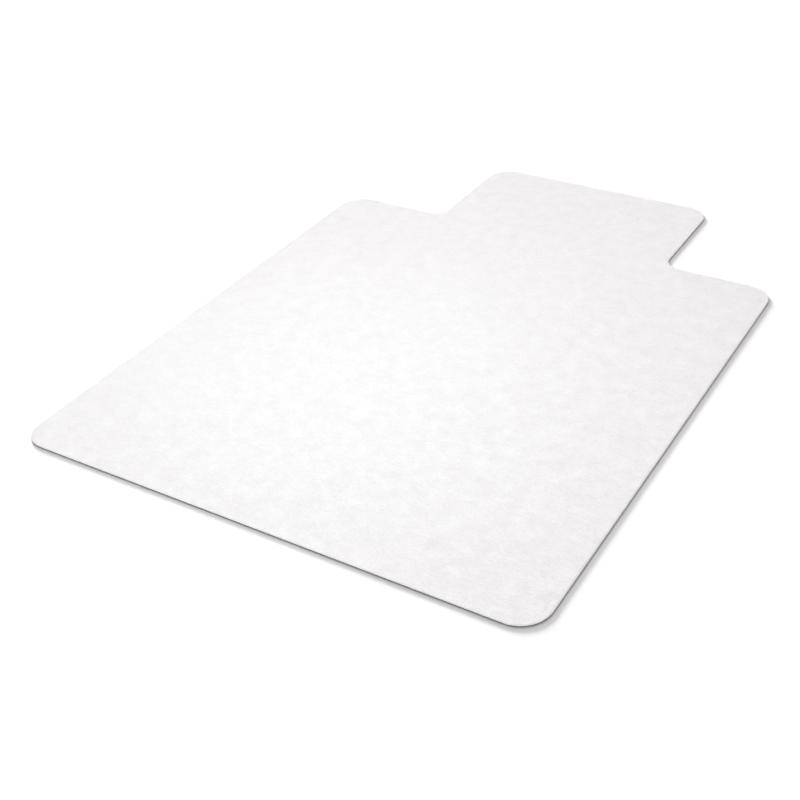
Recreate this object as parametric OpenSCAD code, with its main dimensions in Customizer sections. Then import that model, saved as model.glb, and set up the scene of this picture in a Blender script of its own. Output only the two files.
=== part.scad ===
// Lipped chair mat for hard floors.
// A laminated PVC sheet lies flat on the floor: a wide body that the chair rolls on, and a
// narrower lip, in one with it, that goes under the desk between the pedestals.
// Origin: on the floor, at the middle of the overall outline. +Y points to the desk, +Z up.

/* [Outline] */
// Width of the body, side to side
body_width = 914; // [600:1:1500]
// Length from the user's edge to the far edge of the lip
overall_length = 1219; // [900:1:1800]
// Width of the lip
lip_width = 485; // [300:1:560]
// How far the lip reaches past the body, under the desk
lip_reach = 252; // [150:1:400]

/* [Corners] */
// Radius of the four corners of the body
body_corner_r = 49; // [10:1:60]
// Radius of the two far corners of the lip
lip_corner_r = 50; // [10:1:60]
// Radius of the two inner corners, where the lip leaves the body
inner_corner_r = 28; // [5:1:40]

/* [Layers] */
// Thickness of the soft backing that grips the floor
backing_thickness = 0.5; // [0.3:0.1:1]
// Thickness of the rigid core
core_thickness = 1.5; // [0.8:0.1:3]
// Thickness of the embossed film that the casters roll on
film_thickness = 0.3; // [0.2:0.1:1]

/* [Hidden] */

// Arcs are true circles, drawn with enough facets to look round
$fn = 96;

body_length = overall_length - lip_reach;

// Lines that the outline is built from
front_y = -overall_length / 2;
shoulder_y = front_y + body_length;
lip_end_y = overall_length / 2;

// The lip starts inside the body, so that the two outlines share an area and not only a line
lip_overlap = 2 * lip_corner_r;

// Undersides of the layers, from the floor up
core_z = backing_thickness;
film_z = core_z + core_thickness;

// Rectangle centred on X that starts at y = start, with four round corners
module rounded_rectangle(width, length, start, radius) {
    translate([-width / 2 + radius, start])
        square([width - 2 * radius, length]);
    translate([-width / 2, start + radius])
        square([width, length - 2 * radius]);
    for (x = [-1, 1], y = [start + radius, start + length - radius])
        translate([x * (width / 2 - radius), y])
            circle(r = radius);
}

// Concave corner between the lip's side and the shoulder of the body; side is -1 or 1
module inner_corner(side) {
    mirror([side < 0 ? 1 : 0, 0])
        translate([lip_width / 2, shoulder_y])
            difference() {
                translate([-inner_corner_r, -inner_corner_r])
                    square(2 * inner_corner_r);
                translate([inner_corner_r, inner_corner_r])
                    circle(r = inner_corner_r);
            }
}

// The die-cut outline that all the layers share
module mat_outline() {
    rounded_rectangle(body_width, body_length, front_y, body_corner_r);
    rounded_rectangle(lip_width, lip_reach + lip_overlap, shoulder_y - lip_overlap, lip_corner_r);
    for (side = [-1, 1])
        inner_corner(side);
}

// One layer of the laminate
module layer(underside, thickness) {
    translate([0, 0, underside])
        linear_extrude(thickness)
            mat_outline();
}

// Soft layer that lies on the floor and keeps the mat from sliding
module grip_backing() {
    color([0.86, 0.87, 0.87])
        layer(0, backing_thickness);
}

// Rigid clear sheet that spreads the load of the casters
module core_sheet() {
    color([0.93, 0.95, 0.95])
        layer(core_z, core_thickness);
}

// Frosted, embossed film bonded to the top of the core
module top_film() {
    color([0.97, 0.97, 0.96])
        layer(film_z, film_thickness);
}

grip_backing();
core_sheet();
top_film();
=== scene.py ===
import math

import bpy
import numpy as np
from mathutils import Matrix, Vector, noise
from mathutils.geometry import delaunay_2d_cdt


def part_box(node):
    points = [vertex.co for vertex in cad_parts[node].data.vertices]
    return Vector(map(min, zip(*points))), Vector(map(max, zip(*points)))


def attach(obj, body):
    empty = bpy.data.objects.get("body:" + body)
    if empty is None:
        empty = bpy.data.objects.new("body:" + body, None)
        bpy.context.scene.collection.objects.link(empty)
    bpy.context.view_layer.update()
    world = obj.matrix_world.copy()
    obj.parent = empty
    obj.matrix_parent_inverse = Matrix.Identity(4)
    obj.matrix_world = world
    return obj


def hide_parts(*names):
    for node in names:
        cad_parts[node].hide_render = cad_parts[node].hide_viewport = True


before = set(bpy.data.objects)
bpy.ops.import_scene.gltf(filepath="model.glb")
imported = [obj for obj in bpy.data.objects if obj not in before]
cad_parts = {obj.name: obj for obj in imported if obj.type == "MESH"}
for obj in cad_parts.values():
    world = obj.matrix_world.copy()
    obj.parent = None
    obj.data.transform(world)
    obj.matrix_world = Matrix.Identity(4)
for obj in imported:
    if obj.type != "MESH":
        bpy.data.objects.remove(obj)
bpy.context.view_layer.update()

# ---------------------------------------------------------------------------------------------
# Camera. It stands in front of the mat, to the right of the chair's place, and looks down along
# the mat towards the far left.
camera_place = Vector((0.952, -1.620, 1.158))
camera_heading = math.radians(31.63)
camera_down = math.radians(35.0)
camera_roll = math.radians(-2.68)

camera = bpy.data.objects.new("camera", bpy.data.cameras.new("camera"))
camera.data.lens = 56.15
camera.data.sensor_width = 36.0
camera.data.shift_x = -0.05
camera.matrix_world = (
    Matrix.Translation(camera_place)
    @ Matrix.Rotation(camera_heading, 4, "Z")
    @ Matrix.Rotation(math.pi / 2 - camera_down, 4, "X")
    @ Matrix.Rotation(camera_roll, 4, "Z")
)
bpy.context.scene.collection.objects.link(camera)
bpy.context.scene.camera = camera

# ---------------------------------------------------------------------------------------------
# Grip backing. A soft PVC layer is bonded under the core and lies on the floor. Its underside is
# moulded with small round pips that keep the mat from sliding; a flat band runs round the edge.
backing_low, backing_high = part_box("grip_backing")
half_width = backing_high.x
front_edge = backing_low.y
lip_end = backing_high.y
lip_half_width = 0.2425
shoulder = lip_end - 0.252
body_corner = 0.049
lip_corner = 0.050
inner_corner = 0.028

bond_line = 0.00001
grid_pitch = 0.0037
pip_height = 0.0003
flat_border = 0.0050
border_slope = 0.0006
cut_edge_break = 0.00006


def outline(inset):
    """The die-cut outline moved inwards by inset, as points about grid_pitch apart."""
    corners = [
        (half_width - body_corner, front_edge + body_corner, body_corner - inset, -90, 0),
        (half_width - body_corner, shoulder - body_corner, body_corner - inset, 0, 90),
        (lip_half_width + inner_corner, shoulder + inner_corner, inner_corner + inset, 270, 180),
        (lip_half_width - lip_corner, lip_end - lip_corner, lip_corner - inset, 0, 90),
    ]
    steps = 18
    right = []
    for x, y, radius, start, end in corners:
        for step in range(steps + 1):
            angle = math.radians(start + (end - start) * step / steps)
            right.append(Vector((x + radius * math.cos(angle), y + radius * math.sin(angle))))
    turns = right + [Vector((-p.x, p.y)) for p in reversed(right)]
    points = []
    for here, there in zip(turns, turns[1:] + turns[:1]):
        stretches = max(1, round((there - here).length / grid_pitch))
        points += [here.lerp(there, i / stretches) for i in range(stretches)]
    return points


def lattice(ring):
    """Points of a triangular lattice that fill ring, each with its row and its slanted column."""
    clear = grid_pitch * 0.6
    loop = np.array([tuple(p) for p in ring])
    after = np.roll(loop, -1, axis=0)
    row_pitch = grid_pitch * math.sqrt(3) / 2
    kept = []
    for row in range(1, int((lip_end - front_edge) / row_pitch) + 1):
        y = front_edge + row * row_pitch
        crossed = (loop[:, 1] > y) != (after[:, 1] > y)
        start, end = loop[crossed], after[crossed]
        if not len(start):
            continue
        share = (y - start[:, 1]) / (end[:, 1] - start[:, 1])
        reach = (start[:, 0] + share * (end[:, 0] - start[:, 0])).max() - clear
        near = loop[np.abs(loop[:, 1] - y) < clear]
        columns = int(reach / grid_pitch) + 1
        for column in range(-columns, columns + 1):
            x = (column + (row % 2) / 2) * grid_pitch
            crowded = len(near) and np.hypot(near[:, 0] - x, near[:, 1] - y).min() < clear
            if abs(x) < reach and not crowded:
                kept.append((x, y, row, column - row // 2))
    return kept


def sheet(name, rings, height=None):
    """A closed layer. rings are (inset, z) from its plain face to its worked face, whose inner
    points stand at height(x, y, row, column). Without height, that face is plain too."""
    loops = [[(p.x, p.y, z) for p in outline(inset)] for inset, z in rings]
    count = len(loops[0])
    upwards = rings[-1][1] > rings[0][1]
    points = [p for loop in loops for p in loop]
    faces = [tuple(range(count))[:: -1 if upwards else 1]]
    for level in range(len(loops) - 1):
        a = level * count
        b = a + count
        for i in range(count):
            j = (i + 1) % count
            side = (a + i, a + j, b + j, b + i)
            faces.append(side if upwards else side[::-1])
    last = len(points) - count
    if height is None:
        faces.append(tuple(range(last, last + count))[:: 1 if upwards else -1])
    else:
        ring = [Vector(p[:2]) for p in loops[-1]]
        inner = lattice(ring)
        flat = ring + [Vector(p[:2]) for p in inner]
        border = [(i, (i + 1) % count) for i in range(count)]
        filled = delaunay_2d_cdt(flat, border, [], 1, 1e-7)[2]
        points += [(x, y, height(x, y, row, column)) for x, y, row, column in inner]
        for triangle in filled:
            corner = tuple(last + v for v in triangle)
            faces.append(corner if upwards else corner[::-1])
    mesh = bpy.data.meshes.new(name)
    mesh.from_pydata(points, [], faces)
    mesh.update()
    mesh.shade_smooth()
    mesh.set_sharp_from_angle(angle=math.radians(35))
    piece = bpy.data.objects.new(name, mesh)
    bpy.context.scene.collection.objects.link(piece)
    return piece


def pip(x, y, row, column):
    """Every third lattice point reaches the floor, and the rest lie a pip's height above it."""
    return 0.0 if (column - row) % 3 == 0 else pip_height


backing = sheet(
    "backing",
    [
        (0.0, backing_high.z - bond_line),
        (0.0, cut_edge_break),
        (cut_edge_break, 0.0),
        (flat_border, 0.0),
        (flat_border + border_slope, pip_height),
    ],
    pip,
)


def finish_for(piece, name):
    """Gives piece a new material. Returns its node tree and its Principled shader."""
    material = bpy.data.materials.new(name)
    material.use_nodes = True
    piece.data.materials.append(material)
    return material.node_tree, material.node_tree.nodes["Principled BSDF"]


def put(tree, kind, inputs, **properties):
    """Adds a node. An input given as a socket is linked, and one given as a value is set."""
    node = tree.nodes.new(kind)
    for name, value in properties.items():
        setattr(node, name, value)
    for name, value in inputs.items():
        if isinstance(value, bpy.types.NodeSocket):
            tree.links.new(value, node.inputs[name])
        else:
            node.inputs[name].default_value = value
    return node


def speckle(tree, size, detail, turn=0.0, stretch=1.0):
    """A noise pattern with spots about size metres wide, drawn out stretch times at turn degrees."""
    place = put(tree, "ShaderNodeTexCoord", {}).outputs["Object"]
    turned = put(
        tree,
        "ShaderNodeMapping",
        {"Vector": place, "Rotation": (0, 0, math.radians(turn)), "Scale": (1 / stretch, 1, 1)},
    )
    settings = {"Vector": turned.outputs["Vector"], "Scale": 0.6 / size, "Detail": detail}
    return put(tree, "ShaderNodeTexNoise", settings).outputs["Fac"]


def spread(tree, pattern, low, high, start=0.35, end=0.65):
    """Maps the middle part of a pattern onto the range from low to high."""
    inputs = {"Value": pattern, "From Min": start, "From Max": end, "To Min": low, "To Max": high}
    return put(tree, "ShaderNodeMapRange", inputs).outputs["Result"]


def blend(tree, pattern, first, second):
    """A colour that runs from first to second over the middle part of a pattern."""
    node = put(tree, "ShaderNodeValToRGB", {"Fac": pattern})
    node.color_ramp.elements[0].position = 0.35
    node.color_ramp.elements[0].color = (*first, 1)
    node.color_ramp.elements[1].position = 0.65
    node.color_ramp.elements[1].color = (*second, 1)
    return node.outputs["Color"]


def relief(tree, shader, height, depth):
    """Presses height, a pattern from 0 to 1, into the surface; depth is its full depth in metres."""
    bump = put(tree, "ShaderNodeBump", {"Height": height, "Strength": 1.0, "Distance": depth})
    tree.links.new(bump.outputs["Normal"], shader.inputs["Normal"])


tree, shader = finish_for(backing, "soft_frosted_pvc")
haze = speckle(tree, 0.030, 3)
milky = blend(tree, haze, (0.90, 0.90, 0.90), (0.95, 0.95, 0.94))
tree.links.new(milky, shader.inputs["Base Color"])
tree.links.new(spread(tree, haze, 0.55, 0.70), shader.inputs["Roughness"])
relief(tree, shader, speckle(tree, 0.0012, 3), 0.00005)
shader.inputs["IOR"].default_value = 1.54
shader.inputs["Transmission Weight"].default_value = 0.4
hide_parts("grip_backing")
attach(backing, "root")

# ---------------------------------------------------------------------------------------------
# Core sheet. Clear rigid PVC that spreads the load of the casters. It is die-cut with the layers
# bonded to it, so that only its narrow side face shows.
core_low, core_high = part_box("core_sheet")
die_step = 0.00008
step_start = core_low.z + 0.0004
step_end = core_low.z + 0.0007
core = sheet(
    "core",
    [
        (0.0, core_low.z),
        (die_step / 4, step_start),
        (die_step, step_end),
        (die_step, core_high.z - bond_line),
    ],
)
tree, shader = finish_for(core, "clear_rigid_pvc")
haze = speckle(tree, 0.060, 2)
clear = blend(tree, haze, (0.90, 0.92, 0.92), (0.94, 0.95, 0.95))
tree.links.new(clear, shader.inputs["Base Color"])
tree.links.new(spread(tree, haze, 0.20, 0.32), shader.inputs["Roughness"])
relief(tree, shader, speckle(tree, 0.0005, 2), 0.00002)
shader.inputs["IOR"].default_value = 1.54
shader.inputs["Transmission Weight"].default_value = 0.7
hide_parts("core_sheet")
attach(core, "root")

# ---------------------------------------------------------------------------------------------
# Top film. Frosted PVC, bonded to the core and embossed with a mottled grain by a roller, so that
# casters roll on it without glare. Its cut edge is slightly rounded.
film_low, film_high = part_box("top_film")
edge_round = 0.00025
ripple_depth = 0.00008
broad_waves = 55
fine_waves = 120


def ripple(x, y, row, column):
    """The soft unevenness that the embossing roller leaves, ripple_depth from top to bottom."""
    broad = noise.noise(Vector((x * broad_waves, y * broad_waves, 3.0)))
    fine = noise.noise(Vector((x * fine_waves, y * fine_waves, 7.0)))
    wave = max(-1.0, min(1.0, broad + 0.6 * fine))
    return film_high.z - ripple_depth / 2 * (1 - wave)


arris = []
for step in range(5):
    angle = math.pi / 2 * step / 4
    inset = edge_round * (1 - math.cos(angle))
    arris.append((inset, film_high.z - edge_round * (1 - math.sin(angle))))
film = sheet("film", [(0.0, film_low.z)] + arris, ripple)

tree, shader = finish_for(film, "embossed_frosted_pvc")
cloud = speckle(tree, 0.016, 3)
strands = speckle(tree, 0.0032, 2, 10, 3.0)
for turn in (70, 130):
    more = speckle(tree, 0.0032, 2, turn, 3.0)
    strands = put(tree, "ShaderNodeMath", {0: strands, 1: more}, operation="MAXIMUM").outputs[0]
grain = speckle(tree, 0.0020, 3)
felt = put(tree, "ShaderNodeMath", {0: strands, 1: 0.6, 2: grain}, operation="MULTIPLY_ADD").outputs[0]
height = put(tree, "ShaderNodeMath", {0: felt, 1: 0.625}, operation="MULTIPLY").outputs[0]
mottle = put(tree, "ShaderNodeMath", {0: cloud, 1: 0.25}, operation="MULTIPLY").outputs[0]
mottle = put(tree, "ShaderNodeMath", {0: felt, 1: 0.49, 2: mottle}, operation="MULTIPLY_ADD").outputs[0]
frosted = blend(tree, mottle, (0.784, 0.766, 0.772), (0.892, 0.886, 0.886))
tree.links.new(frosted, shader.inputs["Base Color"])
tree.links.new(spread(tree, height, 0.44, 0.58), shader.inputs["Roughness"])
tree.links.new(spread(tree, mottle, 0.26, 0.16), shader.inputs["Transmission Weight"])
relief(tree, shader, height, 0.00022)
shader.inputs["IOR"].default_value = 1.54
shader.inputs["Specular IOR Level"].default_value = 0.25
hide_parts("top_film")
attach(film, "root")

# ---------------------------------------------------------------------------------------------
# Floor and light. The mat lies on a wide white floor. Very soft light comes from low behind it on
# the left, from a softbox above that and from all round; a small softbox hangs over the middle.
bpy.ops.mesh.primitive_plane_add(size=30)
floor = bpy.context.object
floor.name = "floor"
tree, shader = finish_for(floor, "white_floor")
shader.inputs["Base Color"].default_value = (0.92, 0.92, 0.92, 1)
shader.inputs["Roughness"].default_value = 0.9
shader.inputs["Specular IOR Level"].default_value = 0.0


def soft_sun(name, heading, elevation, spread, strength, colour):
    """A far, soft light that stands at heading, degrees from +Y towards -X, above the horizon."""
    data = bpy.data.lights.new(name, "SUN")
    data.angle = math.radians(spread)
    data.energy = strength
    data.color = colour
    lamp = bpy.data.objects.new(name, data)
    away = Vector((0, 1, math.tan(math.radians(elevation))))
    away.rotate(Matrix.Rotation(math.radians(heading), 3, "Z"))
    lamp.rotation_euler = away.to_track_quat("Z", "Y").to_euler()
    bpy.context.scene.collection.objects.link(lamp)
    return lamp


low_light = soft_sun("low_back_light", 50, 7.5, 13, 13.0, (1, 1, 1))
low_light.visible_glossy = False
low_light.visible_transmission = False
soft_sun("back_softbox", 38, 30, 44, 1.15, (1, 0.97, 0.97))

overhead = bpy.data.objects.new("overhead_softbox", bpy.data.lights.new("overhead_softbox", "AREA"))
overhead.data.size = 0.5
overhead.data.energy = 1.4
overhead.data.color = (0.91, 1.0, 1.0)
overhead.location = (-0.10, -0.26, 0.7)
overhead.visible_camera = False
bpy.context.scene.collection.objects.link(overhead)

world = bpy.data.worlds.new("studio")
world.use_nodes = True
tree = world.node_tree
glow = tree.nodes["Background"]
glow.inputs["Color"].default_value = (1.0, 0.97, 0.97, 1)
glow.inputs["Strength"].default_value = 0.41
white = put(tree, "ShaderNodeBackground", {"Color": (1, 1, 1, 1), "Strength": 1.1})
seen = put(tree, "ShaderNodeLightPath", {}).outputs["Is Camera Ray"]
either = put(tree, "ShaderNodeMixShader", {0: seen, 1: glow.outputs[0], 2: white.outputs[0]})
tree.links.new(either.outputs[0], tree.nodes["World Output"].inputs["Surface"])
bpy.context.scene.world = world
bpy.context.scene.view_settings.view_transform = "Standard"
